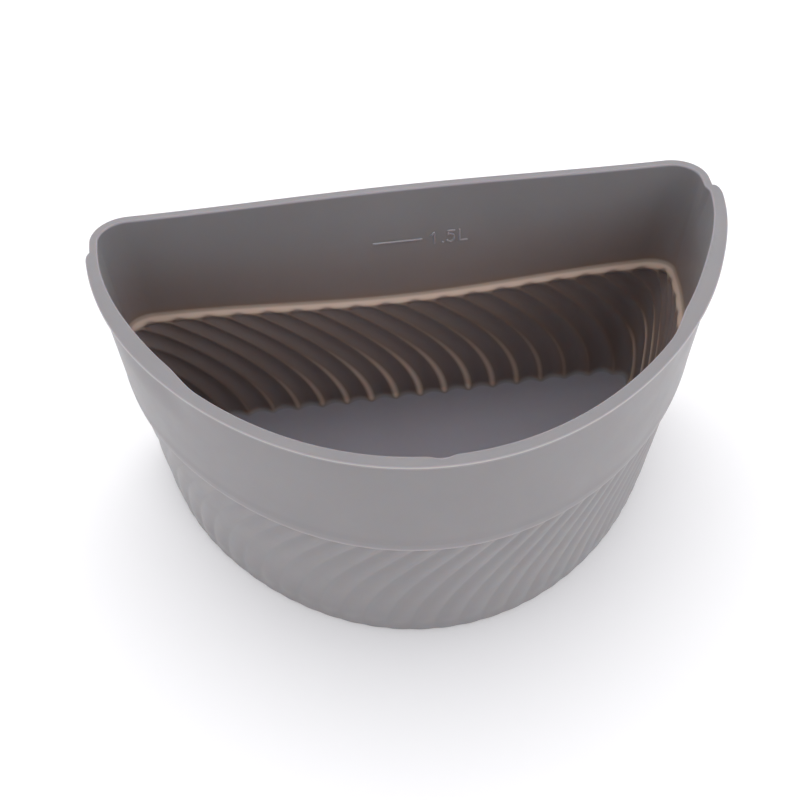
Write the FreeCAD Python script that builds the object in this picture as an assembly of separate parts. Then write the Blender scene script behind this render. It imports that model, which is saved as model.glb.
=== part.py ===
import FreeCAD, Part
import math
import os

# Half-round tub moulded in one piece from soft silicone: a flat back wall, a nearly semicircular
# front wall, a smooth band above a shoulder, swept ribs below it, and a lip round the front.
# The moulding is drawn as zones that meet face to face, one solid and one file each.
# Millimetres. +X to the right, +Y to the back, +Z up. The origin is under the middle of the
# outline, on the surface that the tub stands on.

# Heights
HEIGHT = 112.4              # top of the rim
LIP_BOTTOM = 110.9          # underside of the lip
SHOULDER_TOP = 69.2         # where the smooth band ends on the inside
SHOULDER_BOTTOM = 66.4      # where the ribs start on the inside
SKIRT_BOTTOM = 62.9         # where the smooth band ends on the outside
FLOOR = 3.2                 # floor thickness

# Plan of the inside at the rim, measured from the middle of the front curve's axis
HALF_WIDTH = 105.4          # from the middle to the side wall
PLAN_WAVE_2 = -0.014        # front curve: share of the half width that varies twice round
PLAN_WAVE_4 = 0.012         # and four times round, which squares the curve a little
BACK_DEPTH = 8.7            # from the axis to the flat back wall
CORNER_WIDTH = 10.2         # width of each rounded back corner

# How far the inside has moved in from the rim, at the shoulder and at the floor
SIDE_INSET = {"shoulder": 2.6, "floor": 11.3}
BACK_INSET = {"shoulder": 1.8, "floor": -1.2}
LEDGE = 2.4                 # width of the ledge at the shoulder
RIM_BOW = 1.8               # middle of the back wall bows out at the rim
SHOULDER_BOW = -4.3         # and in at the shoulder

WALL = 2.8                  # thickness of the smooth band
RIBBED_WALL = 3.3           # least thickness from a crest inside to a valley outside
SKIRT_EDGE = 0.4            # height of the smooth band's lower edge outside
FOOT_ROUNDING = 1.0         # rounding of the outside where it meets the floor
LEAN = 1.0                  # how far the soft tub sits to the left at the foot

# Swept ribs
RIBS = 56                   # ribs round the tub
BACK_RIBS = 19.4            # how many of them stand on the back and its corners, further apart
RIB_SHIFT = 0.0151          # way at which the wider spacing starts
FIRST_RIB = 0.29            # where the first rib stands, in ribs from there
RIB_SWEEP = 3.87            # how many ribs along a rib has moved when it reaches the shoulder
RIB_SWEEP_POWER = 1.8       # upright at the floor, leaning at the shoulder
FLUTE_DEPTH = 1.7           # depth of a flute between two ribs, inside
LOBE_DEPTH = 0.6            # height of the lobe that each flute makes outside
LOBE_FOOT = 0.35            # share of that height left at the foot
LOBE_RISE = 7.0             # height over which the lobes reach their full height
CREST_ROUNDING = 0.22       # 0 gives a sharp crest
RIB_FADE = 2.6              # height over which a flute reaches its full depth

# Lip and side grips
LIP_WIDTH = 4.2             # from the inner edge to the outer edge of the lip
GRIP_PUSH = 1.7             # how far the wall moves in under a side grip
GRIP_DEPTH = 20.0           # height over which that dies out
GRIP_START = 2.9            # degrees in front of the axis where the lip starts
GRIP_FULL = 30.0            # where the wall has moved in all the way
GRIP_KINK = (36.0, 45.0)    # where it comes back out
LIP_END = 2.0               # degrees over which the lip's end rounds off
EDGE = 0.5                  # rounding of the rim's edges

# Jog in the wall where the lip starts at the right
JOG = 1.2                   # how far the wall stands out
JOG_START = (2.2, 4.0)      # degrees in front of the axis over which it comes out
JOG_END = (5.0, 24.0)       # and over which it goes back in

# Notch in the inner edge of the rim at the front
NOTCH_X = -3.9
NOTCH_HALF_WIDTH = 5.0
NOTCH_DEPTH = 1.2

# Fill line and its volume mark, raised on the inside of the back wall
MARK_Z = 91.5
MARK_RELIEF = 0.4
LINE_START = -10.7
LINE_END = 6.9
STROKE = 0.8                # width of a stroke
DIGIT_HEIGHT = 5.2
DIGIT_WIDTH = 3.0
DIGIT_START = 11.6          # left edge of the first digit
DIGIT_PITCH = 4.2

# How finely the shapes are drawn
STATIONS_PER_FACE = 8
WALL_SPACING = 2.0          # between the stations of the shoulder and the band
RIM_SPACING = 1.0           # between the stations of the rim
WAY_STEP = 1e-7             # step for the direction of the wall
RIB_LEVELS = (FLOOR, 7.0, 11.0, 18.0, 25.0, 32.0, 39.0, 46.0, 52.0, 57.0, 60.5, SKIRT_BOTTOM,
              SKIRT_BOTTOM + SKIRT_EDGE, SHOULDER_BOTTOM - RIB_FADE, 64.7, 65.5, SHOULDER_BOTTOM)

PLAN_BASE = 1.0 - PLAN_WAVE_2 - PLAN_WAVE_4


def smooth(value, start, end):
    """0 before start, 1 after end, with a smooth rise between."""
    t = min(max((value - start) / (end - start), 0.0), 1.0)
    return t * t * (3.0 - 2.0 * t)


def ledge_at(z):
    """How far the ledge stands in at a height between the ribs and the smooth band."""
    return LEDGE * (1.0 - smooth(z, SHOULDER_BOTTOM, SHOULDER_TOP))


def by_height(z, insets):
    """Inset of the inside at a height, straight between the named levels."""
    if z >= SHOULDER_TOP:
        return insets["shoulder"] * (HEIGHT - z) / (HEIGHT - SHOULDER_TOP)
    if z >= SHOULDER_BOTTOM:
        return insets["shoulder"] + ledge_at(z)
    under_ledge = insets["shoulder"] + LEDGE
    return insets["floor"] + (under_ledge - insets["floor"]) * z / SHOULDER_BOTTOM


def bow_at(z):
    """How far the middle of the back wall stands out at a height."""
    if z >= SHOULDER_TOP:
        share = (z - SHOULDER_TOP) / (HEIGHT - SHOULDER_TOP)
        return SHOULDER_BOW + (RIM_BOW - SHOULDER_BOW) * share
    return SHOULDER_BOW * z / SHOULDER_TOP


def front_share(angle):
    """Radius of the front curve as a share of the half width. 0 is the side, 90 the front."""
    turn = math.radians(angle)
    return PLAN_BASE + PLAN_WAVE_2 * math.cos(2 * turn) + PLAN_WAVE_4 * math.cos(4 * turn)


def grip_push(angle, z):
    """How far the wall moves in under a side grip."""
    along = smooth(angle, GRIP_START, GRIP_FULL) * (1.0 - smooth(angle, *GRIP_KINK))
    return GRIP_PUSH * along * smooth(z, HEIGHT - GRIP_DEPTH, LIP_BOTTOM)


def jog(angle, z):
    """How far the wall stands out where the lip starts at the right."""
    along = smooth(angle, *JOG_START) * (1.0 - smooth(angle, *JOG_END))
    return JOG * along * smooth(z, HEIGHT - GRIP_DEPTH, LIP_BOTTOM)


def front_length():
    """Length of the front curve at the foot of the wall, from side to side."""
    steps = 360
    radius = HALF_WIDTH - SIDE_INSET["floor"]
    return sum(radius * front_share(180.0 * (i + 0.5) / steps) for i in range(steps)) * math.pi / steps


CORNER_LENGTH = math.pi / 2 * (CORNER_WIDTH + BACK_DEPTH) / 2
BACK_LENGTH = 2 * (HALF_WIDTH - SIDE_INSET["floor"] - CORNER_WIDTH)
FRONT_LENGTH = front_length()
ROUND_LENGTH = 2 * CORNER_LENGTH + BACK_LENGTH + FRONT_LENGTH
LEFT_SIDE = (2 * CORNER_LENGTH + BACK_LENGTH) / ROUND_LENGTH


def inside(way, z):
    """Point of the smooth inside wall. way runs from 0 at the right side, over the back, to 1."""
    distance = (way % 1.0) * ROUND_LENGTH
    half = HALF_WIDTH - by_height(z, SIDE_INSET)
    depth = BACK_DEPTH - by_height(z, BACK_INSET)
    flat = half - CORNER_WIDTH
    if distance < CORNER_LENGTH:
        turn = math.pi / 2 * distance / CORNER_LENGTH
        return flat + CORNER_WIDTH * math.cos(turn), depth * math.sin(turn)
    distance -= CORNER_LENGTH
    if distance < BACK_LENGTH:
        x = flat * (1.0 - 2.0 * distance / BACK_LENGTH)
        return x, depth + bow_at(z) * (1.0 + math.cos(math.pi * x / flat)) / 2
    distance -= BACK_LENGTH
    if distance < CORNER_LENGTH:
        turn = math.pi / 2 * (1.0 + distance / CORNER_LENGTH)
        return -flat + CORNER_WIDTH * math.cos(turn), depth * math.sin(turn)
    distance -= CORNER_LENGTH
    turn = 180.0 * distance / FRONT_LENGTH
    side_angle = min(turn, 180.0 - turn)
    radius = HALF_WIDTH * front_share(turn) - by_height(z, SIDE_INSET)
    radius += jog(180.0 - turn, z) - grip_push(side_angle, z)
    return -radius * math.cos(math.radians(turn)), -radius * math.sin(math.radians(turn))


def lip_angle(way):
    """Degrees in front of the side, 0 on the back and the corners."""
    distance = (way % 1.0) * ROUND_LENGTH - (ROUND_LENGTH - FRONT_LENGTH)
    turn = 180.0 * distance / FRONT_LENGTH
    return max(0.0, min(turn, 180.0 - turn))


def rib_way(rib, z):
    """Way at which the line that starts a number of ribs round the tub has climbed to z."""
    moved = rib + RIB_SWEEP * (z / SHOULDER_BOTTOM) ** RIB_SWEEP_POWER
    turns, rest = divmod(moved, RIBS)
    if rest < BACK_RIBS:
        return turns + RIB_SHIFT + LEFT_SIDE * rest / BACK_RIBS
    return turns + RIB_SHIFT + LEFT_SIDE + (1.0 - LEFT_SIDE) * (rest - BACK_RIBS) / (RIBS - BACK_RIBS)


def flute(rib):
    """Share of the full depth of a flute on the line that starts a number of ribs round the tub."""
    wave = math.sin(math.pi * (rib - FIRST_RIB))
    hollow = math.sqrt(wave ** 2 + CREST_ROUNDING ** 2) - CREST_ROUNDING
    return hollow / (math.sqrt(1.0 + CREST_ROUNDING ** 2) - CREST_ROUNDING)


def middle_x(z):
    """Where the middle of the tub is at a height, as it leans a little."""
    return AXIS_X - LEAN * (1.0 - z / HEIGHT)


def place(way, z, out):
    """Point that lies out millimetres outside the smooth inside wall."""
    before = inside(way - WAY_STEP, z)
    after = inside(way + WAY_STEP, z)
    x, y = inside(way, z)
    along_x, along_y = after[0] - before[0], after[1] - before[1]
    size = math.hypot(along_x, along_y)
    x += middle_x(z) + out * along_y / size
    y -= out * along_x / size
    return FreeCAD.Vector(round(x, 5), round(y + AXIS_Y, 5), z)


# The origin is midway between the lip at the front and the foot of the back wall, and between
# the widest points of the lip at the sides, of which the right one stands out by the jog
AXIS_X = -JOG / 2
FRONT_REACH = HALF_WIDTH * front_share(90.0) + LIP_WIDTH
BACK_REACH = BACK_DEPTH - BACK_INSET["floor"] + RIBBED_WALL + LOBE_FOOT * LOBE_DEPTH
AXIS_Y = (FRONT_REACH - BACK_REACH) / 2


def curve(points):
    """Smooth edge through points, or a straight one between two."""
    if len(points) == 2:
        return Part.makeLine(points[0], points[1])
    spline = Part.BSplineCurve()
    spline.interpolate(points)
    return spline.toShape()


def solid_from(faces):
    """Closed solid from faces that share their edges."""
    shell = Part.Shell(faces)
    shell.sewShape()
    solid = Part.Solid(shell)
    if solid.Volume < 0:
        solid.reverse()
    return solid


def ruled(one, two):
    """Straight-line surface between two edges that run the same way."""
    same_way = 1
    return Part.makeRuledSurface(one, two, same_way)


def end_cap(station):
    """Faces that close a solid at one station, between its inner and outer points."""
    rungs = [Part.makeLine(inner, outer) for inner, outer in station]
    return [ruled(rungs[i - 1], rungs[i]) for i in range(1, len(rungs))]


def strips(stretch):
    """Faces round the section along one stretch of stations, one for each pair of levels."""
    levels = range(len(stretch[0]))
    inner = [curve([station[level][0] for station in stretch]) for level in levels]
    outer = [curve([station[level][1] for station in stretch]) for level in levels]
    round_section = inner + outer[::-1]
    return [ruled(round_section[i - 1], edge) for i, edge in enumerate(round_section)]


def solid_along(stations):
    """Solid through stations. A station lists its (inner, outer) points from the bottom up."""
    faces = end_cap(stations[0]) + end_cap(stations[-1])
    for start in range(0, len(stations) - 1, STATIONS_PER_FACE):
        faces += strips(stations[start:start + STATIONS_PER_FACE + 1])
    return solid_from(faces)


def ways_between(start, end, spacing):
    """Evenly spaced ways from start to end, about spacing millimetres apart, in whole faces."""
    faces = max(1, round((end - start) * ROUND_LENGTH / (spacing * STATIONS_PER_FACE)))
    count = faces * STATIONS_PER_FACE
    return [start + (end - start) * i / count for i in range(count + 1)]


def zone(ways, section):
    """Solid of a zone of the wall. section(way) lists (z, inner out, outer out) from the bottom up."""
    return solid_along([[(place(way, z, near), place(way, z, far)) for z, near, far in section(way)]
                        for way in ways])


def rib_lines(first, last):
    """Where lines start, in ribs, from the bottom of one flute to the bottom of a later one."""
    count = (last - first) * STATIONS_PER_FACE
    return [first + FIRST_RIB + 0.5 + i / STATIONS_PER_FACE for i in range(count + 1)]


def ribbed_outs(rib, z):
    """Inner and outer place of the ribbed wall. Above the ribs outside comes the smooth band."""
    near = FLUTE_DEPTH * flute(rib) * (1.0 - smooth(z, SHOULDER_BOTTOM - RIB_FADE, SHOULDER_BOTTOM))
    if z > SKIRT_BOTTOM:
        return near, WALL + LEDGE
    lobe = LOBE_FOOT + (1.0 - LOBE_FOOT) * smooth(z, FLOOR, FLOOR + LOBE_RISE)
    return near, RIBBED_WALL + LOBE_DEPTH * flute(rib) * lobe


def ribbed_zone(first, last):
    """Part of the ribbed wall, between two flutes. Its ends follow the flutes up the wall."""
    stations = []
    for rib in rib_lines(first, last):
        station = []
        for z in RIB_LEVELS:
            near, far = ribbed_outs(rib, z)
            way = rib_way(rib, z)
            station.append((place(way, z, near), place(way, z, far)))
        stations.append(station)
    return solid_along(stations)


def foot_edges(z, inset):
    """Outline of the foot of the wall at a height, one edge for each rib."""
    points = [place(rib_way(rib, FLOOR), z, ribbed_outs(rib, FLOOR)[1] - inset)
              for rib in rib_lines(0, RIBS)]
    points[-1] = points[0]
    return [curve(points[i:i + STATIONS_PER_FACE + 1])
            for i in range(0, len(points) - 1, STATIONS_PER_FACE)]


def floor_pan():
    """The flat base, as wide as the foot of the ribbed wall, with a rounded lower edge."""
    outlines = [foot_edges(0.0, FOOT_ROUNDING), foot_edges(0.3 * FOOT_ROUNDING, 0.3 * FOOT_ROUNDING),
                foot_edges(FOOT_ROUNDING, 0.0), foot_edges(FLOOR, 0.0)]
    faces = [Part.Face(Part.Wire(outlines[0])), Part.Face(Part.Wire(outlines[-1]))]
    for below, above in zip(outlines, outlines[1:]):
        faces += [ruled(low, high) for low, high in zip(below, above)]
    return solid_from(faces)


def ledge_section(way):
    """The shoulder: a rounded ledge inside, under the smooth band."""
    levels = (SHOULDER_BOTTOM, 66.9, 67.4, 67.8, 68.2, 68.7, SHOULDER_TOP)
    return [(z, 0.0, WALL + ledge_at(z)) for z in levels]


def band_section(way):
    """The smooth band between the shoulder and the rim."""
    return [(z, 0.0, WALL) for z in (SHOULDER_TOP, 92.4, 96.0, 99.0, 102.0, 105.0, 108.0, LIP_BOTTOM)]


def lip_share(way):
    """0 where the rim has no lip, 1 where it has, with a rounded end."""
    along = min(max((lip_angle(way) - GRIP_START) / LIP_END, 0.0), 1.0)
    return math.sqrt(1.0 - (1.0 - along) ** 2)


def notch(way):
    """How far the notch cuts into the rim's inner edge."""
    x, y = inside(way, HEIGHT)
    return NOTCH_DEPTH * (1.0 - smooth(abs(x - NOTCH_X), 0.0, NOTCH_HALF_WIDTH)) if y < 0 else 0.0


def rim_section(way):
    """The rim, with its rounded edges, and the lip where there is one."""
    share = lip_share(way)
    push = grip_push(lip_angle(way), HEIGHT)
    width = WALL + (LIP_WIDTH - WALL + push) * share
    cut = notch(way)
    return [(LIP_BOTTOM, 0.0, width - EDGE / 2 * share),
            (LIP_BOTTOM + EDGE, 0.4 * cut, width),
            (HEIGHT - EDGE, 0.8 * cut, width),
            (HEIGHT - 0.3 * EDGE, 0.3 * EDGE + cut, width - 0.3 * EDGE),
            (HEIGHT, EDGE + cut, width - EDGE)]


def on_back(x, z, relief):
    """Point on the inside of the back wall, or relief millimetres in front of it."""
    depth = BACK_DEPTH - by_height(z, BACK_INSET)
    flat = HALF_WIDTH - by_height(z, SIDE_INSET) - CORNER_WIDTH
    bow = bow_at(z) * (1.0 + math.cos(math.pi * x / flat)) / 2
    return FreeCAD.Vector(x + middle_x(z), depth + bow + AXIS_Y - relief, z)


def stroke(path):
    """Raised stroke of even width along a path of (x, z) points, with mitred corners."""
    stations = []
    for i, (x, z) in enumerate(path):
        before = path[max(i - 1, 0)]
        after = path[min(i + 1, len(path) - 1)]
        ways = [math.atan2(b[1] - a[1], b[0] - a[0]) for a, b in ((before, (x, z)), ((x, z), after))
                if a != b]
        middle = sum(ways) / len(ways)
        half = STROKE / 2 / math.cos(ways[0] - middle)
        side_x, side_z = -math.sin(middle) * half, math.cos(middle) * half
        stations.append([(on_back(x + sign * side_x, z + sign * side_z, 0.0),
                          on_back(x + sign * side_x, z + sign * side_z, MARK_RELIEF))
                         for sign in (-1, 1)])
    faces = end_cap(stations[0]) + end_cap(stations[-1])
    for one, two in zip(stations, stations[1:]):
        ring_one = [one[0][0], one[0][1], one[1][1], one[1][0]]
        ring_two = [two[0][0], two[0][1], two[1][1], two[1][0]]
        for i in range(4):
            faces.append(ruled(Part.makeLine(ring_one[i - 1], ring_one[i]),
                               Part.makeLine(ring_two[i - 1], ring_two[i])))
    return solid_from(faces)


def volume_mark():
    """The volume at the fill line, in plain strokes: 1.5 L."""
    low, high = MARK_Z - DIGIT_HEIGHT / 2, MARK_Z + DIGIT_HEIGHT / 2
    middle = MARK_Z + 0.1 * DIGIT_HEIGHT
    one, point, five, letter = [DIGIT_START + DIGIT_PITCH * step for step in (0.0, 0.75, 1.1, 2.2)]
    right = five + DIGIT_WIDTH
    paths = [
        [(one - 1.2, high - 1.4), (one, high - STROKE / 2), (one, low)],
        [(point - STROKE / 2, low + STROKE / 2), (point + STROKE / 2, low + STROKE / 2)],
        [(right, high - STROKE / 2), (five + 0.4, high - STROKE / 2), (five + 0.2, middle),
         (right - 0.9, middle), (right, middle - 1.0), (right, low + 1.3),
         (right - 0.9, low + STROKE / 2), (five, low + STROKE / 2)],
        [(letter, high), (letter, low + STROKE / 2), (letter + DIGIT_WIDTH, low + STROKE / 2)],
    ]
    return Part.makeCompound([stroke(path) for path in paths])


def fill_line():
    """Raised level line beside the volume mark."""
    stations = []
    for i in range(6):
        x = LINE_START + (LINE_END - LINE_START) * i / 5
        stations.append([(on_back(x, z, 0.0), on_back(x, z, MARK_RELIEF))
                         for z in (MARK_Z - STROKE / 2, MARK_Z + STROKE / 2)])
    return solid_along(stations)


# Ways at which zones meet
FRONT = LEFT_SIDE + (1.0 - LEFT_SIDE) / 2
KINK_SHARE = GRIP_KINK[1] / 180.0
LEFT_KINK = LEFT_SIDE + (1.0 - LEFT_SIDE) * KINK_SHARE
RIGHT_KINK = 1.0 - (1.0 - LEFT_SIDE) * KINK_SHARE

RIBBED_ZONES = {            # counted in ribs
    "ribbed_back_wall": (-5, 17),
    "ribbed_left_wall": (17, 34),
    "ribbed_right_wall": (34, 51),
}
BAND_ZONES = {
    "back_band": (0.0, LEFT_SIDE),
    "left_band": (LEFT_SIDE, FRONT),
    "right_band": (FRONT, 1.0),
}
LEDGE_ZONES = {
    "back_ledge": (0.0, LEFT_SIDE),
    "front_ledge": (LEFT_SIDE, 1.0),
}
RIM_ZONES = {
    "back_rim": (0.0, LEFT_SIDE),
    "left_grip": (LEFT_SIDE, LEFT_KINK),
    "front_lip": (LEFT_KINK, RIGHT_KINK),
    "right_grip": (RIGHT_KINK, 1.0),
}

nodes = {"floor_pan": floor_pan()}
for name, ends in RIBBED_ZONES.items():
    nodes[name] = ribbed_zone(*ends)
for zones, section, spacing in ((LEDGE_ZONES, ledge_section, WALL_SPACING),
                                (BAND_ZONES, band_section, WALL_SPACING),
                                (RIM_ZONES, rim_section, RIM_SPACING)):
    for name, ends in zones.items():
        nodes[name] = zone(ways_between(*ends, spacing), section)
nodes["fill_line"] = fill_line()
nodes["volume_mark"] = volume_mark()

os.makedirs("parts", exist_ok=True)
for name, shape in nodes.items():
    shape.exportStep("parts/" + name + ".step")
    print(name, shape.isValid(), len(shape.Solids), round(shape.Volume, 1), shape.BoundBox)
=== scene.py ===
import math

import bpy
import numpy as np
from mathutils import Matrix, Vector


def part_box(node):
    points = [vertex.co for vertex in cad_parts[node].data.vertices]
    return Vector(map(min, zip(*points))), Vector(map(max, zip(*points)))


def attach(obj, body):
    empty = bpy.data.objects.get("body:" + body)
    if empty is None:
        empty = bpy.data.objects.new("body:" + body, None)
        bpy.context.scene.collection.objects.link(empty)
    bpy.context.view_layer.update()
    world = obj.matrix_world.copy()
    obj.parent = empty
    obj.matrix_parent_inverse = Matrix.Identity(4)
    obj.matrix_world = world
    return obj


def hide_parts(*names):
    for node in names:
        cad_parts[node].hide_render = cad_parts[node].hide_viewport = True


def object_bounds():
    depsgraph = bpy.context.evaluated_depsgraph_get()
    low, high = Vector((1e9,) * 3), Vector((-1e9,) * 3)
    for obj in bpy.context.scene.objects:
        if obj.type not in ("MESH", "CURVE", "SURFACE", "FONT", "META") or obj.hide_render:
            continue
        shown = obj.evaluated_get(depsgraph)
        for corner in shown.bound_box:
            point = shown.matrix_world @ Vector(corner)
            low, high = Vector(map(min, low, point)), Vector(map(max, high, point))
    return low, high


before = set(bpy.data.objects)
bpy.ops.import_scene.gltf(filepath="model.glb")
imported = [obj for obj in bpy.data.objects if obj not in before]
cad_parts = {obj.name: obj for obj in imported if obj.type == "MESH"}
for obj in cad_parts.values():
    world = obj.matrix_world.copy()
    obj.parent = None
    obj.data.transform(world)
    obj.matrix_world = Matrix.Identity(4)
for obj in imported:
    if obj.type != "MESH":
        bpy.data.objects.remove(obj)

# A half-round tub moulded in one piece from grey silicone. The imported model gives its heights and
# its place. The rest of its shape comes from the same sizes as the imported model, in metres.

CAD_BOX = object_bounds()
MM = 0.001

# Heights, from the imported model
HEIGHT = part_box("back_rim")[1].z
LIP_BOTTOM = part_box("back_rim")[0].z
SHOULDER_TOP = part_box("back_band")[0].z
SHOULDER_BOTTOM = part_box("back_ledge")[0].z
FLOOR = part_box("floor_pan")[1].z

# Plan of the inside at the rim
HALF_WIDTH = 105.4 * MM
PLAN_WAVE_2 = -0.014
PLAN_WAVE_4 = 0.012
PLAN_BASE = 1.0 - PLAN_WAVE_2 - PLAN_WAVE_4
BACK_DEPTH = 8.7 * MM
CORNER_WIDTH = 10.2 * MM

# How far the inside has moved in from the rim, and how far the back wall bows out
SIDE_INSET = {"shoulder": 2.6 * MM, "floor": 11.3 * MM}
BACK_INSET = {"shoulder": 1.8 * MM, "floor": -1.2 * MM}
LEDGE = 2.4 * MM
RIM_BOW = 1.8 * MM
SHOULDER_BOW = -4.3 * MM

# Walls, skirt, foot and floor
WALL = 2.8 * MM
RIBBED_WALL = 3.3 * MM
SKIRT_BOTTOM = 62.9 * MM
SKIRT_ROUNDING = 0.4 * MM
SKIRT_STEP = 0.15 * MM
SKIRT_STEP_OUT = 0.1 * MM
FOOT_ROUNDING = 1.0 * MM
LEAN = 1.0 * MM
FLOOR_FILLET = 2.2 * MM

# Swept ribs: BACK_RIBS of them are on the back, and each moves on by RIB_SWEEP on its way up
RIBS = 56
BACK_RIBS = 19.4
RIB_SHIFT = 0.0151
FIRST_RIB = 0.29
RIB_SWEEP = 3.87
RIB_SWEEP_POWER = 1.8
FLUTE_DEPTH = 1.7 * MM
LOBE_DEPTH = 0.6 * MM
LOBE_FOOT = 0.35
LOBE_RISE = 7.0 * MM
CREST_ROUNDING = 0.22
RIB_FADE = 2.6 * MM

# Lip, side grips, the jog at the right and the notch at the front. Angles are in degrees in
# front of the side
LIP_WIDTH = 4.2 * MM
GRIP_PUSH = 1.7 * MM
GRIP_DEPTH = 20.0 * MM
GRIP_START = 2.9
GRIP_FULL = 30.0
GRIP_KINK = (36.0, 45.0)
LIP_END = 2.0
EDGE = 0.5 * MM
JOG = 1.2 * MM
JOG_START = (2.2, 4.0)
JOG_END = (5.0, 24.0)
NOTCH_X = -3.9 * MM
NOTCH_HALF_WIDTH = 5.0 * MM
NOTCH_DEPTH = 1.2 * MM
NOTCH_FOOT = 0.4
NOTCH_EDGE = 0.8
UNDER_LIP = 0.3

# Fill line and volume mark. FIVE_STEM is how far in the 5 has its corner and the foot of its stem
MARK_Z = 91.5 * MM
MARK_RELIEF = 0.4 * MM
MARK_ROOT = 0.3 * MM
LINE_START = -10.7 * MM
LINE_END = 6.9 * MM
STROKE = 0.8 * MM
DIGIT_HEIGHT = 5.2 * MM
DIGIT_WIDTH = 3.0 * MM
DIGIT_START = 11.6 * MM
DIGIT_PITCH = 4.2 * MM
DIGIT_STEPS = (0.0, 0.75, 1.1, 2.2)
FLAG = 1.1 * MM
DOT = 0.1 * MM
FIVE_INSET = 0.3 * MM
FIVE_STEM = (0.4 * MM, 0.2 * MM)
BOWL = 0.3 * DIGIT_HEIGHT
BOWL_WIDTH = 1.45 * MM
BOWL_TOP = 1.75
BOWL_TURNS = (115.0, -140.0)
LETTER_INSET = 0.4 * MM

# Mesh: points round each ring, and rings up each stretch. WAY_STEP finds the wall's direction
COLUMNS_PER_RIB = 18
COLUMNS = RIBS * COLUMNS_PER_RIB
WAY_STEP = 1e-7
RIB_RINGS = 46
FADE_RINGS = 12
LEDGE_RINGS = 15
ABOVE_LEDGE_RINGS = 8
BAND_RINGS = 14
GRIP_RINGS = 16
SKIRT_RINGS = 16
EDGE_RINGS = 7
UNDERSIDE_RINGS = 4
FOOT_RINGS = 6
SKIRT_TURNS = (20.0, 45.0, 70.0, 90.0)
STROKE_END_TURNS = (75.0, 50.0, 25.0)
STROKE_TOP_TURNS = (20.0, 160.0)
STROKE_TOP_POINTS = 8

# Rings that close the floor and the underside: share of the way out to the wall, and how many
# points of the ring outside meet each point
DISC_RINGS = ((0.97, 1), (0.90, 2), (0.78, 2), (0.60, 4), (0.30, 1))

# Camera, turned round the foot of the front curve's axis and then shifted. Angles are in degrees
AZIMUTH = -6.24
ELEVATION = 49.54
ROLL = -1.91
DISTANCE = 513.5 * MM
SIDE_SHIFT = -3.8 * MM
UP_SHIFT = 6.986 * MM
LENS = 55.76
SENSOR = 36.0

# Painted light: glow painted into the colour where light comes through thin silicone and catches the
# ledge, the crests and the skirt edge. 0 is none and 1 is full. CREST_MIDDLE and
# CREST_SIDE are ways along the wall, as inside() counts them
LEDGE_EDGE = SHOULDER_TOP - 1.5 * MM
LEDGE_CORE = 0.85 * MM
LEDGE_PAINTED_HIGHLIGHT = 0.66
PAINTED_HALO = 0.45
PAINTED_HALO_ABOVE = 3.0 * MM
CUSP = 3.2 * MM
CREST_WIDTH = 0.5
CREST_LEAST = 0.1
CREST_MIDDLE = 0.190
CREST_REACH = 0.130
CREST_DIMMING = 0.75
CREST_DIMS = (4.0 * MM, 54.0 * MM)
CREST_SIDE = 0.992
CREST_SIDE_REACH = 0.035
CREST_SIDE_PAINTED_HIGHLIGHT = 0.8
CREST_SIDE_ENDS = (30.0 * MM, 66.0 * MM)
SKIRT_PAINTED_HIGHLIGHT = 0.2
SKIRT_PAINTED_HIGHLIGHT_REACH = 1.0 * MM
RELIEF_PAINTED_LIGHT = 0.0

# Painted light and shade in the colour: 0 is a painted highlight on an edge, the floor takes a painted
# cool reflection, the outside is the plain grey, and 1 is painted shade inside near the ledge
FLOOR_PAINTED_REFLECTION_LEVEL = 0.15
OUTSIDE_PLAIN_LEVEL = 0.4
RELIEF_SHADE_LEVEL = 0.3
PAINTED_SHADE_START = HEIGHT - 8.0 * MM
PAINTED_SHADE_FULL = SHOULDER_TOP + 2.0 * MM
INNER_EDGE_PAINTED_HIGHLIGHT = 0.8

# Colours of the silicone: a painted highlight for edges, a painted cool reflection for the floor, the
# plain grey, painted shade for the inside, and the fringe and core of the painted glow
EDGE_PAINTED_HIGHLIGHT = (0.470, 0.480, 0.450)
FLOOR_PAINTED_REFLECTION = (0.340, 0.322, 0.358)
NEUTRAL = (0.256, 0.243, 0.247)
INSIDE_PAINTED_SHADE = (0.236, 0.190, 0.178)
PAINTED_GLOW_FRINGE = (0.250, 0.165, 0.115)
PAINTED_GLOW_CORE = (0.950, 0.765, 0.640)
PAINTED_FRINGE_LEVELS = (0.0, 0.5)
FRINGE_SHARES = (0.0, 0.75)
PAINTED_CORE_LEVELS = (0.3, 1.0)
CORE_SHARES = (0.0, 0.9)
CLOUDY = (0.94, 0.94, 0.94)
CLEAR = (1.0, 1.0, 1.0)
ROUGHNESS = (0.34, 0.48)

# Studio: name, place, side and power of each lamp
LAMPS = (("key", (0.0, 0.5, 1.4), 1.8, 13.0), ("fill", (0.5, -1.2, 0.8), 0.8, 3.5))
WORLD_COLOUR = (0.97, 0.98, 1.03)
WORLD_STRENGTH = 0.86
STAGE_COLOUR = (0.95, 0.94, 0.93)
STAGE_REACH = 3.0
STAGE_DROP = 0.02 * MM


def smooth(value, start, end):
    """0 before start, 1 after end, with a smooth rise between."""
    t = np.clip((value - start) / (end - start), 0.0, 1.0)
    return t * t * (3.0 - 2.0 * t)


def bell(distance, reach):
    """1 at no distance, falling away smoothly on both sides."""
    return np.exp(-(distance / reach) ** 2)


def sine_cosine(degrees):
    """Sine and cosine of each angle in degrees."""
    return [(math.sin(turn), math.cos(turn)) for turn in np.radians(degrees)]


def ledge_at(z):
    """How far the ledge stands in at a height between the ribs and the smooth band."""
    return LEDGE * (1.0 - smooth(z, SHOULDER_BOTTOM, SHOULDER_TOP))


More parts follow.
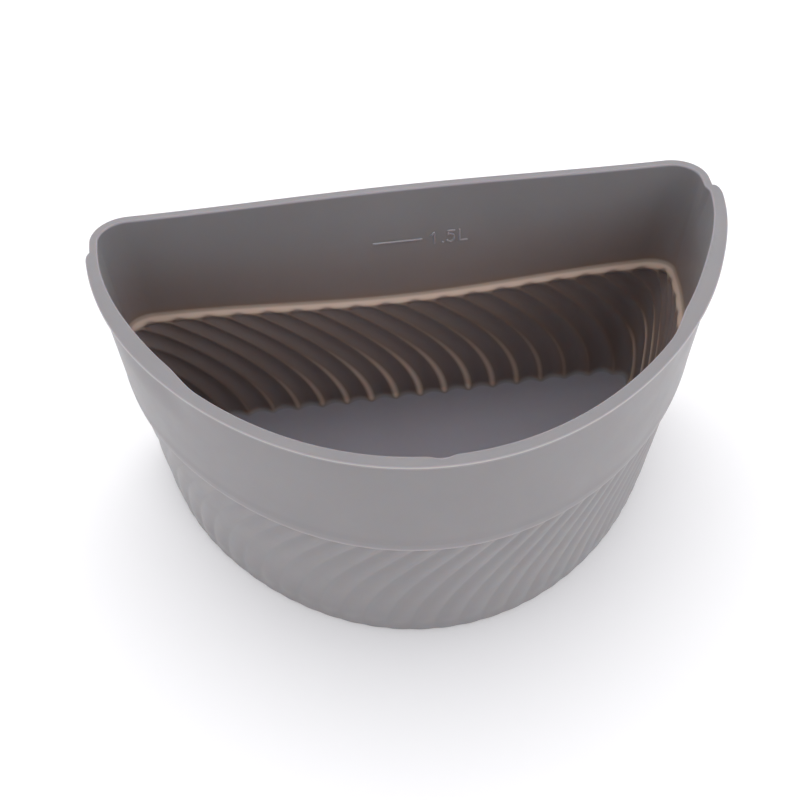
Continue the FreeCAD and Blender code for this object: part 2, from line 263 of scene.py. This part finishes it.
def by_height(z, insets):
    """Inset of the inside at a height, straight between the named levels."""
    if z >= SHOULDER_TOP:
        return insets["shoulder"] * (HEIGHT - z) / (HEIGHT - SHOULDER_TOP)
    if z >= SHOULDER_BOTTOM:
        return insets["shoulder"] + ledge_at(z)
    under_ledge = insets["shoulder"] + LEDGE
    return insets["floor"] + (under_ledge - insets["floor"]) * z / SHOULDER_BOTTOM


def bow_at(z):
    """How far the middle of the back wall stands out at a height."""
    if z >= SHOULDER_TOP:
        share = (z - SHOULDER_TOP) / (HEIGHT - SHOULDER_TOP)
        return SHOULDER_BOW + (RIM_BOW - SHOULDER_BOW) * share
    return SHOULDER_BOW * z / SHOULDER_TOP


def front_share(angle):
    """Radius of the front curve as a share of the half width. 0 is the side, 90 the front."""
    turn = np.radians(angle)
    return PLAN_BASE + PLAN_WAVE_2 * np.cos(2 * turn) + PLAN_WAVE_4 * np.cos(4 * turn)


def grip_push(angle, z):
    """How far the wall moves in under a side grip."""
    along = smooth(angle, GRIP_START, GRIP_FULL) * (1.0 - smooth(angle, *GRIP_KINK))
    return GRIP_PUSH * along * smooth(z, HEIGHT - GRIP_DEPTH, LIP_BOTTOM)


def jog(angle, z):
    """How far the wall stands out where the lip starts at the right."""
    along = smooth(angle, *JOG_START) * (1.0 - smooth(angle, *JOG_END))
    return JOG * along * smooth(z, HEIGHT - GRIP_DEPTH, LIP_BOTTOM)


# Lengths round the inside at the floor, which the ways are shared out by
FOOT_RADIUS = HALF_WIDTH - SIDE_INSET["floor"]
FRONT_LENGTH = FOOT_RADIUS * np.mean(front_share(np.arange(0.25, 180.0, 0.5))) * math.pi
CORNER_LENGTH = math.pi / 2 * (CORNER_WIDTH + BACK_DEPTH) / 2
BACK_LENGTH = 2 * (FOOT_RADIUS - CORNER_WIDTH)
ROUND_LENGTH = 2 * CORNER_LENGTH + BACK_LENGTH + FRONT_LENGTH
LEFT_SIDE = 1.0 - FRONT_LENGTH / ROUND_LENGTH
FRONT_REACH = HALF_WIDTH * front_share(90.0) + LIP_WIDTH
AXIS_X = -JOG / 2
AXIS_Y = CAD_BOX[0].y + FRONT_REACH


def middle_x(z):
    """Where the middle of the tub is at a height, as it leans a little."""
    return AXIS_X - LEAN * (1.0 - z / HEIGHT)


def inside(way, z):
    """Points of the smooth inside wall. way runs from 0 at the right side, over the back, to 1."""
    distance = (way % 1.0) * ROUND_LENGTH
    half = HALF_WIDTH - by_height(z, SIDE_INSET)
    depth = BACK_DEPTH - by_height(z, BACK_INSET)
    flat = half - CORNER_WIDTH
    along = np.clip((distance - CORNER_LENGTH) / BACK_LENGTH, 0.0, 1.0)
    back_x = flat * (1.0 - 2.0 * along)
    back_y = depth + bow_at(z) * (1.0 + np.cos(math.pi * back_x / flat)) / 2
    before = np.clip(distance / CORNER_LENGTH, 0.0, 1.0)
    after = np.clip((distance - CORNER_LENGTH - BACK_LENGTH) / CORNER_LENGTH, 0.0, 1.0)
    corner = math.pi / 2 * (before + after)
    x = back_x + CORNER_WIDTH * np.cos(corner)
    y = np.where((before < 1.0) | (after > 0.0), depth * np.sin(corner), back_y)
    turn = 180.0 * (distance - (ROUND_LENGTH - FRONT_LENGTH)) / FRONT_LENGTH
    side_angle = np.minimum(turn, 180.0 - turn)
    radius = HALF_WIDTH * front_share(turn) - by_height(z, SIDE_INSET)
    radius += jog(180.0 - turn, z) - grip_push(side_angle, z)
    front = turn > 0.0
    x = np.where(front, -radius * np.cos(np.radians(turn)), x)
    y = np.where(front, -radius * np.sin(np.radians(turn)), y)
    return x, y


def lip_angle(way):
    """Degrees in front of the side, 0 on the back and the corners."""
    distance = (way % 1.0) * ROUND_LENGTH - (ROUND_LENGTH - FRONT_LENGTH)
    turn = 180.0 * distance / FRONT_LENGTH
    return np.maximum(0.0, np.minimum(turn, 180.0 - turn))


RIB_LINES = np.arange(COLUMNS) / COLUMNS_PER_RIB + FIRST_RIB
RIB_WAVE = np.sin(math.pi * (RIB_LINES - FIRST_RIB))
FLUTE = ((np.sqrt(RIB_WAVE ** 2 + CREST_ROUNDING ** 2) - CREST_ROUNDING)
         / (math.sqrt(1.0 + CREST_ROUNDING ** 2) - CREST_ROUNDING))
CREST = bell(RIB_WAVE, CREST_WIDTH)


def rib_way(z):
    """Ways that the columns have reached at a height, as they follow the ribs up the wall."""
    climbed = min(z / SHOULDER_BOTTOM, 1.0)
    moved = RIB_LINES + RIB_SWEEP * climbed ** RIB_SWEEP_POWER
    rest = moved % RIBS
    back = LEFT_SIDE * rest / BACK_RIBS
    front = LEFT_SIDE + (1.0 - LEFT_SIDE) * (rest - BACK_RIBS) / (RIBS - BACK_RIBS)
    return RIB_SHIFT + np.where(rest < BACK_RIBS, back, front)


def flutes(z):
    """Depth of the flutes inside at a height."""
    return FLUTE_DEPTH * FLUTE * (1.0 - smooth(z, SHOULDER_BOTTOM - RIB_FADE, SHOULDER_BOTTOM))


def lobes(z):
    """Where the lobes outside stand at a height."""
    grown = LOBE_FOOT + (1.0 - LOBE_FOOT) * smooth(z, FLOOR, FLOOR + LOBE_RISE)
    return RIBBED_WALL + LOBE_DEPTH * FLUTE * grown


class Skin:
    """Rings of points, with the painted light and the painted shade and highlight of the silicone at
    each.
    """

    def __init__(self):
        self.rings = []
        self.painted_light = []
        self.painted_shade_and_highlight = []

    def add(self, z, out, painted_light=0.0, painted_shade_and_highlight=OUTSIDE_PLAIN_LEVEL, follow=None):
        """Adds a ring at a height, out from the smooth inside wall by out.

        follow is the height whose sweep of the ribs the ring has, where that isn't its own.
        """
        way = rib_way(z if follow is None else follow)
        x, y = inside(way, z)
        before, after = inside(way - WAY_STEP, z), inside(way + WAY_STEP, z)
        along_x, along_y = after[0] - before[0], after[1] - before[1]
        size = np.hypot(along_x, along_y)
        x = x + out * along_y / size + middle_x(z)
        y = y - out * along_x / size + AXIS_Y
        self.rings.append(np.column_stack((x, y, np.full(COLUMNS, z))))
        self.painted_light.append(np.broadcast_to(painted_light, COLUMNS))
        self.painted_shade_and_highlight.append(np.full(COLUMNS, painted_shade_and_highlight))


def ribbed_heights():
    """Heights of the rings on the ribbed wall inside, closer where the flutes end."""
    fade = SHOULDER_BOTTOM - RIB_FADE
    return np.concatenate((np.linspace(FLOOR + FLOOR_FILLET, fade, RIB_RINGS)[:-1],
                           np.linspace(fade, SHOULDER_BOTTOM, FADE_RINGS)))


def band_heights():
    """Heights of the rings on the smooth band, closer under the grips."""
    grip_bottom = HEIGHT - GRIP_DEPTH
    return np.concatenate((np.linspace(SHOULDER_TOP, grip_bottom, BAND_RINGS)[:-1],
                           np.linspace(grip_bottom, LIP_BOTTOM, GRIP_RINGS)))


def crest_painted_highlight(z):
    """Painted highlight on the crests inside, brightest low on the middle of the back wall and on the
    right.
    """
    way = rib_way(z) % 1.0
    back = bell(way - CREST_MIDDLE, CREST_REACH) * (1.0 - CREST_DIMMING * smooth(z, *CREST_DIMS))
    side = bell((way - CREST_SIDE + 0.5) % 1.0 - 0.5, CREST_SIDE_REACH)
    side = CREST_SIDE_PAINTED_HIGHLIGHT * side * (1.0 - smooth(z, *CREST_SIDE_ENDS))
    return CREST * np.maximum(CREST_LEAST + (1.0 - CREST_LEAST) * back, side)


def ledge_painted_light(z):
    """Painted light along the ledge: a thin painted highlight on the edge, a soft painted halo above
    and cusps on the crests below.
    """
    above = z - LEDGE_EDGE
    if above < 0.0:
        return LEDGE_PAINTED_HIGHLIGHT * bell(above, LEDGE_CORE + CUSP * (1.0 - FLUTE))
    return max(LEDGE_PAINTED_HIGHLIGHT * bell(above, LEDGE_CORE), PAINTED_HALO * bell(above, PAINTED_HALO_ABOVE))


def inside_painted_shade(z):
    """Painted shade on the silicone inside, greatest round the ledge."""
    return OUTSIDE_PLAIN_LEVEL + (1.0 - OUTSIDE_PLAIN_LEVEL) * smooth(z, PAINTED_SHADE_START, PAINTED_SHADE_FULL)


def add_inside(skin):
    """The hollow, from the edge of the floor up to the rim."""
    # The floor edge takes the painted cool reflection, blending into the painted shade and painted
    # crest highlights of the walls.
    for sine, cosine in sine_cosine(np.linspace(90.0, 0.0, EDGE_RINGS)):
        z = FLOOR + FLOOR_FILLET * (1.0 - sine)
        skin.add(z, flutes(z) - FLOOR_FILLET * (1.0 - cosine), crest_painted_highlight(z) * cosine,
                 FLOOR_PAINTED_REFLECTION_LEVEL + (inside_painted_shade(z) - FLOOR_PAINTED_REFLECTION_LEVEL) * cosine)
    for z in ribbed_heights()[1:]:
        skin.add(z, flutes(z), np.maximum(crest_painted_highlight(z), ledge_painted_light(z)), inside_painted_shade(z))
    band = band_heights()[2:]
    ledge = np.linspace(SHOULDER_BOTTOM, SHOULDER_TOP, LEDGE_RINGS)[1:]
    above_ledge = np.linspace(SHOULDER_TOP, band[0], ABOVE_LEDGE_RINGS)[1:-1]
    for z in np.concatenate((ledge, above_ledge, band)):
        skin.add(z, 0.0, ledge_painted_light(z), inside_painted_shade(z))


def add_rim(skin):
    """The rim, from the inside over the top to the underside of the lip."""
    way = rib_way(SHOULDER_BOTTOM)
    angle = lip_angle(way)
    along = np.clip((angle - GRIP_START) / LIP_END, 0.0, 1.0)
    share = np.sqrt(1.0 - (1.0 - along) ** 2)
    width = WALL + (LIP_WIDTH - WALL + grip_push(angle, HEIGHT)) * share
    x, y = inside(way, HEIGHT)
    notch = NOTCH_DEPTH * (1.0 - smooth(np.abs(x - NOTCH_X), 0.0, NOTCH_HALF_WIDTH))
    cut = np.where(y < 0, notch, 0.0)
    skin.add(LIP_BOTTOM + EDGE, NOTCH_FOOT * cut)
    # The rounded inner and outer edges of the rim get a painted highlight.
    for sine, cosine in sine_cosine(np.linspace(0.0, 90.0, EDGE_RINGS)):
        deepened = cut * (NOTCH_EDGE + (1.0 - NOTCH_EDGE) * sine)
        skin.add(HEIGHT - EDGE * (1.0 - sine), deepened + EDGE * (1.0 - cosine), 0.0,
                 OUTSIDE_PLAIN_LEVEL * (1.0 - INNER_EDGE_PAINTED_HIGHLIGHT * cosine))
    for sine, cosine in sine_cosine(np.linspace(90.0, 0.0, EDGE_RINGS)):
        skin.add(HEIGHT - EDGE * (1.0 - sine), width - EDGE * (1.0 - cosine), 0.0,
                 OUTSIDE_PLAIN_LEVEL * (1.0 - cosine))
    for sine, cosine in sine_cosine(np.linspace(0.0, 90.0, UNDERSIDE_RINGS)):
        skin.add(LIP_BOTTOM + EDGE * (1.0 - sine), width - EDGE / 2 * share * (1.0 - cosine))
    skin.add(LIP_BOTTOM, WALL + (width - WALL) * UNDER_LIP)


def add_outside(skin):
    """The outside, from under the lip down to the foot."""
    for z in band_heights()[::-1]:
        skin.add(z, WALL)
    for z in np.linspace(SHOULDER_TOP, SKIRT_BOTTOM + SKIRT_ROUNDING, SKIRT_RINGS)[1:]:
        # The foot of the skirt gets a thin painted highlight.
        pale = bell(z - SKIRT_BOTTOM, SKIRT_PAINTED_HIGHLIGHT_REACH)
        skin.add(z, WALL + ledge_at(z), SKIRT_PAINTED_HIGHLIGHT * pale, OUTSIDE_PLAIN_LEVEL * (1.0 - pale))
    for sine, cosine in sine_cosine(SKIRT_TURNS):
        skin.add(SKIRT_BOTTOM + SKIRT_ROUNDING * (1.0 - sine),
                 WALL + LEDGE - SKIRT_ROUNDING * (1.0 - cosine), SKIRT_PAINTED_HIGHLIGHT, 0.0)
    skin.add(SKIRT_BOTTOM - SKIRT_STEP, lobes(SKIRT_BOTTOM) + SKIRT_STEP_OUT)
    below = ribbed_heights()[::-1]
    for z in np.append(below[below < SKIRT_BOTTOM - 2 * SKIRT_STEP], FLOOR):
        skin.add(z, lobes(z))
    for sine, cosine in sine_cosine(np.linspace(0.0, 90.0, FOOT_RINGS)):
        skin.add(FOOT_ROUNDING * (1.0 - sine), lobes(FLOOR) - FOOT_ROUNDING * (1.0 - cosine),
                 follow=FLOOR)


def mesh_object(name, points, faces):
    """New mesh object in the scene, smooth shaded."""
    mesh = bpy.data.meshes.new(name)
    mesh.from_pydata([tuple(point) for point in points], [], faces)
    mesh.validate()
    mesh.shade_smooth()
    piece = bpy.data.objects.new(name, mesh)
    bpy.context.scene.collection.objects.link(piece)
    return piece


def store(piece, name, values):
    """Keeps a value for each point of a piece, for its material."""
    piece.data.attributes.new(name, "FLOAT", "POINT").data.foreach_set("value", values)


def disc(points, faces, edge, upward):
    """Closes the ring of point numbers edge with coarser and coarser rings and one middle face."""
    outline = points[edge]
    middle = np.array((middle_x(outline[0, 2]), outline[:, 1].mean(), outline[0, 2]))
    outer = edge
    for share, every in DISC_RINGS:
        inner = np.arange(len(outer) // every) + len(points)
        places = middle + share * (outline[::len(outline) // len(inner)] - middle)
        points = np.vstack((points, places))
        for i in range(len(inner)):
            far = [outer[(i * every + k) % len(outer)] for k in range(every + 1)]
            near = [inner[(i + 1) % len(inner)], inner[i]]
            face = [int(number) for number in far + near]
            faces.append(face if upward else face[::-1])
        outer = inner
    face = [int(number) for number in outer]
    faces.append(face if upward else face[::-1])
    return points


def tub():
    """The whole moulding as one closed skin: up the inside, over the rim and down the outside."""
    skin = Skin()
    add_inside(skin)
    add_rim(skin)
    add_outside(skin)
    points = np.vstack(skin.rings)
    numbers = np.arange(len(points)).reshape(-1, COLUMNS)
    faces = []
    for low, high in zip(numbers[:-1], numbers[1:]):
        faces += np.column_stack((low, high, np.roll(high, -1), np.roll(low, -1))).tolist()
    points = disc(points, faces, numbers[0], True)
    points = disc(points, faces, numbers[-1], False)
    piece = mesh_object("tub", points, faces)
    # Stores the painted light and the painted shade and highlight of each point for the material.
    for kind, rings in (("painted_light", skin.painted_light), ("painted_shade_and_highlight", skin.painted_shade_and_highlight)):
        values = np.full(len(points), rings[0][0], np.float32)
        values[:numbers.size] = np.concatenate(rings)
        store(piece, kind, values)
    return piece


def on_back(x, z, relief):
    """Point on the inside of the back wall, or relief in front of it."""
    depth = BACK_DEPTH - by_height(z, BACK_INSET)
    flat = HALF_WIDTH - by_height(z, SIDE_INSET) - CORNER_WIDTH
    bow = bow_at(z) * (1.0 + math.cos(math.pi * x / flat)) / 2
    return x + middle_x(z), depth + bow + AXIS_Y - relief, z


def stroke(path):
    """Points and faces of a raised rounded stroke along (x, z) points, with round ends."""
    path = np.array(path)
    tangents = np.gradient(path, axis=0)
    tangents /= np.linalg.norm(tangents, axis=1)[:, None]
    half = STROKE / 2
    stations = [(path[0] - tangents[0] * half * sine, tangents[0], cosine)
                for sine, cosine in sine_cosine(STROKE_END_TURNS)]
    stations += [(place, tangent, 1.0) for place, tangent in zip(path, tangents)]
    stations += [(path[-1] + tangents[-1] * half * sine, tangents[-1], cosine)
                 for sine, cosine in sine_cosine(STROKE_END_TURNS[::-1])]
    points = []
    for (x, z), (along_x, along_z), size in stations:
        section = [(-1.0, -MARK_ROOT), (-1.0, 0.0)]
        section += [(-cosine, sine * MARK_RELIEF * size)
                    for sine, cosine in sine_cosine(np.linspace(*STROKE_TOP_TURNS, STROKE_TOP_POINTS))]
        section += [(1.0, 0.0), (1.0, -MARK_ROOT)]
        for side, relief in section:
            offset = side * half * size
            points.append(on_back(x - along_z * offset, z + along_x * offset, relief))
    count = len(section)
    faces = []
    for i in range(len(stations) - 1):
        for k in range(count):
            a, b = i * count + k, i * count + (k + 1) % count
            faces.append((a, b, b + count, a + count))
    faces.append(tuple(range(count))[::-1])
    faces.append(tuple(range(len(points) - count, len(points))))
    return points, faces


def strokes_object(name, paths):
    """One piece from several strokes."""
    points, faces = [], []
    for path in paths:
        more, around = stroke(path)
        faces += [tuple(number + len(points) for number in face) for face in around]
        points += more
    piece = mesh_object(name, points, faces)
    # The marks get no painted glow, and less painted shade than the wall round them.
    store(piece, "painted_light", np.full(len(points), RELIEF_PAINTED_LIGHT, np.float32))
    store(piece, "painted_shade_and_highlight", np.full(len(points), RELIEF_SHADE_LEVEL, np.float32))
    return piece


def straight(start, end, count):
    """Evenly spaced points from start to end."""
    return [(start[0] + (end[0] - start[0]) * i / (count - 1),
             start[1] + (end[1] - start[1]) * i / (count - 1)) for i in range(count)]


def arc(middle, radius_x, radius_z, start, end, count):
    """Points on an ellipse, from one angle to another in degrees."""
    return [(middle[0] + radius_x * cosine, middle[1] + radius_z * sine)
            for sine, cosine in sine_cosine(np.linspace(start, end, count))]


def volume_mark():
    """The volume at the fill line, in plain strokes."""
    low = MARK_Z - DIGIT_HEIGHT / 2 + STROKE / 2
    high = MARK_Z + DIGIT_HEIGHT / 2 - STROKE / 2
    one, point, five, letter = [DIGIT_START + DIGIT_PITCH * step for step in DIGIT_STEPS]
    one_path = straight((one - FLAG, high - FLAG), (one, high), 3)
    one_path += straight((one, high), (one, low), 8)[1:]
    point_path = straight((point - DOT, low), (point + DOT, low), 2)
    five_corner = (five + FIVE_STEM[0], high)
    five_path = straight((five + DIGIT_WIDTH - FIVE_INSET, high), five_corner, 5)
    five_path += straight(five_corner, (five + FIVE_STEM[1], low + BOWL_TOP * BOWL), 5)[1:]
    bowl_middle = (five + DIGIT_WIDTH / 2 - FIVE_INSET, low + BOWL)
    five_path += arc(bowl_middle, BOWL_WIDTH, BOWL, *BOWL_TURNS, 16)
    letter_path = straight((letter, high), (letter, low), 8)
    letter_path += straight((letter, low), (letter + DIGIT_WIDTH - LETTER_INSET, low), 5)[1:]
    return strokes_object("volume_mark_relief", [one_path, point_path, five_path, letter_path])


def fill_line():
    """Raised level line beside the volume mark."""
    return strokes_object("fill_line_relief", [straight((LINE_START, MARK_Z), (LINE_END, MARK_Z), 24)])


class Nodes:
    """Short way to add nodes to a new material."""

    def __init__(self, name):
        self.material = bpy.data.materials.new(name)
        self.material.use_nodes = True
        self.tree = self.material.node_tree
        self.shader = self.tree.nodes["Principled BSDF"]

    def add(self, kind, **inputs):
        """Adds a node and sets its inputs."""
        node = self.tree.nodes.new(kind)
        for name, value in inputs.items():
            node.inputs[name.replace("_", " ")].default_value = value
        return node

    def link(self, source, target):
        """Feeds an output into an input."""
        self.tree.links.new(source, target)

    def give(self, value, target):
        """Sets an input to a colour or a number, or links it to an output of another node."""
        if isinstance(value, tuple):
            target.default_value = (*value, 1.0)
        elif isinstance(value, float):
            target.default_value = value
        else:
            self.link(value, target)

    def mix(self, share, start, end, blend="MIX"):
        """Colour that is share of the way from start to end."""
        node = self.add("ShaderNodeMix")
        node.data_type = "RGBA"
        node.blend_type = blend
        colours = [socket for socket in node.inputs if socket.type == "RGBA"]
        self.give(share, node.inputs[0])
        self.give(start, colours[0])
        self.give(end, colours[1])
        return next(output for output in node.outputs if output.type == "RGBA")

    def ramp(self, share, stops):
        """Colour that runs through the (position, colour) stops."""
        node = self.add("ShaderNodeValToRGB")
        elements = node.color_ramp.elements
        while len(elements) < len(stops):
            elements.new(0.5)
        for element, (position, colour) in zip(elements, stops):
            element.position = position
            element.color = (*colour, 1.0)
        self.link(share, node.inputs["Fac"])
        return node.outputs["Color"]

    def stretch(self, value, before, after):
        """Value moved from one range to another, and kept within it."""
        node = self.add("ShaderNodeMapRange")
        node.inputs["From Min"].default_value, node.inputs["From Max"].default_value = before
        node.inputs["To Min"].default_value, node.inputs["To Max"].default_value = after
        self.link(value, node.inputs["Value"])
        return node.outputs["Result"]

    def attribute(self, name):
        """Value that the mesh stores at each point."""
        node = self.add("ShaderNodeAttribute")
        node.attribute_name = name
        return node.outputs["Fac"]


def silicone(name):
    """Satin translucent silicone: painted highlights on thin edges, painted glow, painted shade
    inside, faint clouding, fine moulded grain, soft sheen.
    """
    made = Nodes(name)
    shader = made.shader
    shader.inputs["IOR"].default_value = 1.41
    shader.inputs["Subsurface Weight"].default_value = 1.0
    shader.inputs["Subsurface Radius"].default_value = (1.0, 0.5, 0.3)
    shader.inputs["Subsurface Scale"].default_value = 1.2 * MM
    shader.inputs["Sheen Weight"].default_value = 0.03
    shader.inputs["Sheen Roughness"].default_value = 0.5
    place = made.add("ShaderNodeTexCoord")
    # The colour runs from the painted highlight on edges, through the painted floor reflection and the
    # plain grey, to the painted shade inside.
    painted_shade_stops = ((0.0, EDGE_PAINTED_HIGHLIGHT), (FLOOR_PAINTED_REFLECTION_LEVEL, FLOOR_PAINTED_REFLECTION), (OUTSIDE_PLAIN_LEVEL, NEUTRAL), (1.0, INSIDE_PAINTED_SHADE))
    colour = made.ramp(made.attribute("painted_shade_and_highlight"), painted_shade_stops)
    clouds = made.add("ShaderNodeTexNoise", Scale=28.0, Detail=3.0, Roughness=0.55)
    made.link(place.outputs["Object"], clouds.inputs["Vector"])
    cloudy = made.ramp(clouds.outputs["Fac"], ((0.3, CLOUDY), (0.7, CLEAR)))
    colour = made.mix(1.0, colour, cloudy, "MULTIPLY")
    # Painted glow on the ledge, crests and skirt: a brown fringe and a pale core.
    painted_light = made.attribute("painted_light")
    colour = made.mix(made.stretch(painted_light, PAINTED_FRINGE_LEVELS, FRINGE_SHARES), colour, PAINTED_GLOW_FRINGE)
    colour = made.mix(made.stretch(painted_light, PAINTED_CORE_LEVELS, CORE_SHARES), colour, PAINTED_GLOW_CORE)
    made.link(colour, shader.inputs["Base Color"])
    grain = made.add("ShaderNodeTexNoise", Scale=2200.0, Detail=2.0, Roughness=0.6)
    made.link(place.outputs["Object"], grain.inputs["Vector"])
    handling = made.add("ShaderNodeTexNoise", Scale=90.0, Detail=4.0, Roughness=0.6)
    made.link(place.outputs["Object"], handling.inputs["Vector"])
    roughness = made.stretch(handling.outputs["Fac"], (0.0, 1.0), ROUGHNESS)
    made.link(roughness, shader.inputs["Roughness"])
    bump = made.add("ShaderNodeBump", Strength=0.3, Distance=0.02 * MM)
    made.link(grain.outputs["Fac"], bump.inputs["Height"])
    made.link(bump.outputs["Normal"], shader.inputs["Normal"])
    return made.material


def pale_floor():
    """Plain pale floor material."""
    made = Nodes("pale_floor")
    made.shader.inputs["Base Color"].default_value = (*STAGE_COLOUR, 1.0)
    made.shader.inputs["Roughness"].default_value = 0.9
    return made.material


def studio():
    """Floor, world light and softboxes."""
    signs = ((-1, -1), (1, -1), (1, 1), (-1, 1))
    corners = [(STAGE_REACH * side, STAGE_REACH * front, 0.0) for side, front in signs]
    floor = mesh_object("floor", corners, [(0, 1, 2, 3)])
    floor.location.z = -STAGE_DROP
    floor.data.materials.append(pale_floor())
    world = bpy.data.worlds.new("studio")
    bpy.context.scene.world = world
    world.use_nodes = True
    background = world.node_tree.nodes["Background"]
    background.inputs["Color"].default_value = (*WORLD_COLOUR, 1.0)
    background.inputs["Strength"].default_value = WORLD_STRENGTH
    for name, place, width, power in LAMPS:
        lamp = bpy.data.lights.new(name, "AREA")
        lamp.shape = "SQUARE"
        lamp.size = width
        lamp.energy = power
        holder = bpy.data.objects.new(name, lamp)
        holder.location = place
        aim = Vector((0.0, 0.0, HEIGHT / 2)) - Vector(place)
        holder.rotation_euler = aim.to_track_quat("-Z", "Y").to_euler()
        bpy.context.scene.collection.objects.link(holder)


def camera():
    """The camera, level with the photograph's view of the tub."""
    azimuth, elevation, roll = (math.radians(angle) for angle in (AZIMUTH, ELEVATION, ROLL))
    back = Vector((math.sin(azimuth) * math.cos(elevation),
                   -math.cos(azimuth) * math.cos(elevation),
                   math.sin(elevation)))
    right = (-back).cross(Vector((0.0, 0.0, 1.0))).normalized()
    up = right.cross(-back)
    place = Vector((AXIS_X, AXIS_Y, 0.0)) + back * DISTANCE + right * SIDE_SHIFT + up * UP_SHIFT
    rolled_right = math.cos(roll) * right + math.sin(roll) * up
    rolled_up = -math.sin(roll) * right + math.cos(roll) * up
    data = bpy.data.cameras.new("camera")
    data.lens = LENS
    data.sensor_width = SENSOR
    data.clip_start = 0.01
    holder = bpy.data.objects.new("camera", data)
    turned = Matrix((rolled_right, rolled_up, back)).transposed()
    holder.matrix_world = Matrix.Translation(place) @ turned.to_4x4()
    bpy.context.scene.collection.objects.link(holder)
    bpy.context.scene.camera = holder


SHELL_NODES = ("floor_pan", "ribbed_back_wall", "ribbed_left_wall", "ribbed_right_wall", "back_ledge",
               "front_ledge", "back_band", "left_band", "right_band", "back_rim", "left_grip",
               "right_grip", "front_lip")

grey = silicone("grey_silicone")
for piece, nodes in ((tub(), SHELL_NODES),
                     (fill_line(), ("fill_line",)),
                     (volume_mark(), ("volume_mark",))):
    piece.data.materials.append(grey)
    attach(piece, "root")
    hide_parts(*nodes)

studio()
camera()
bpy.context.scene.view_settings.view_transform = "Standard"
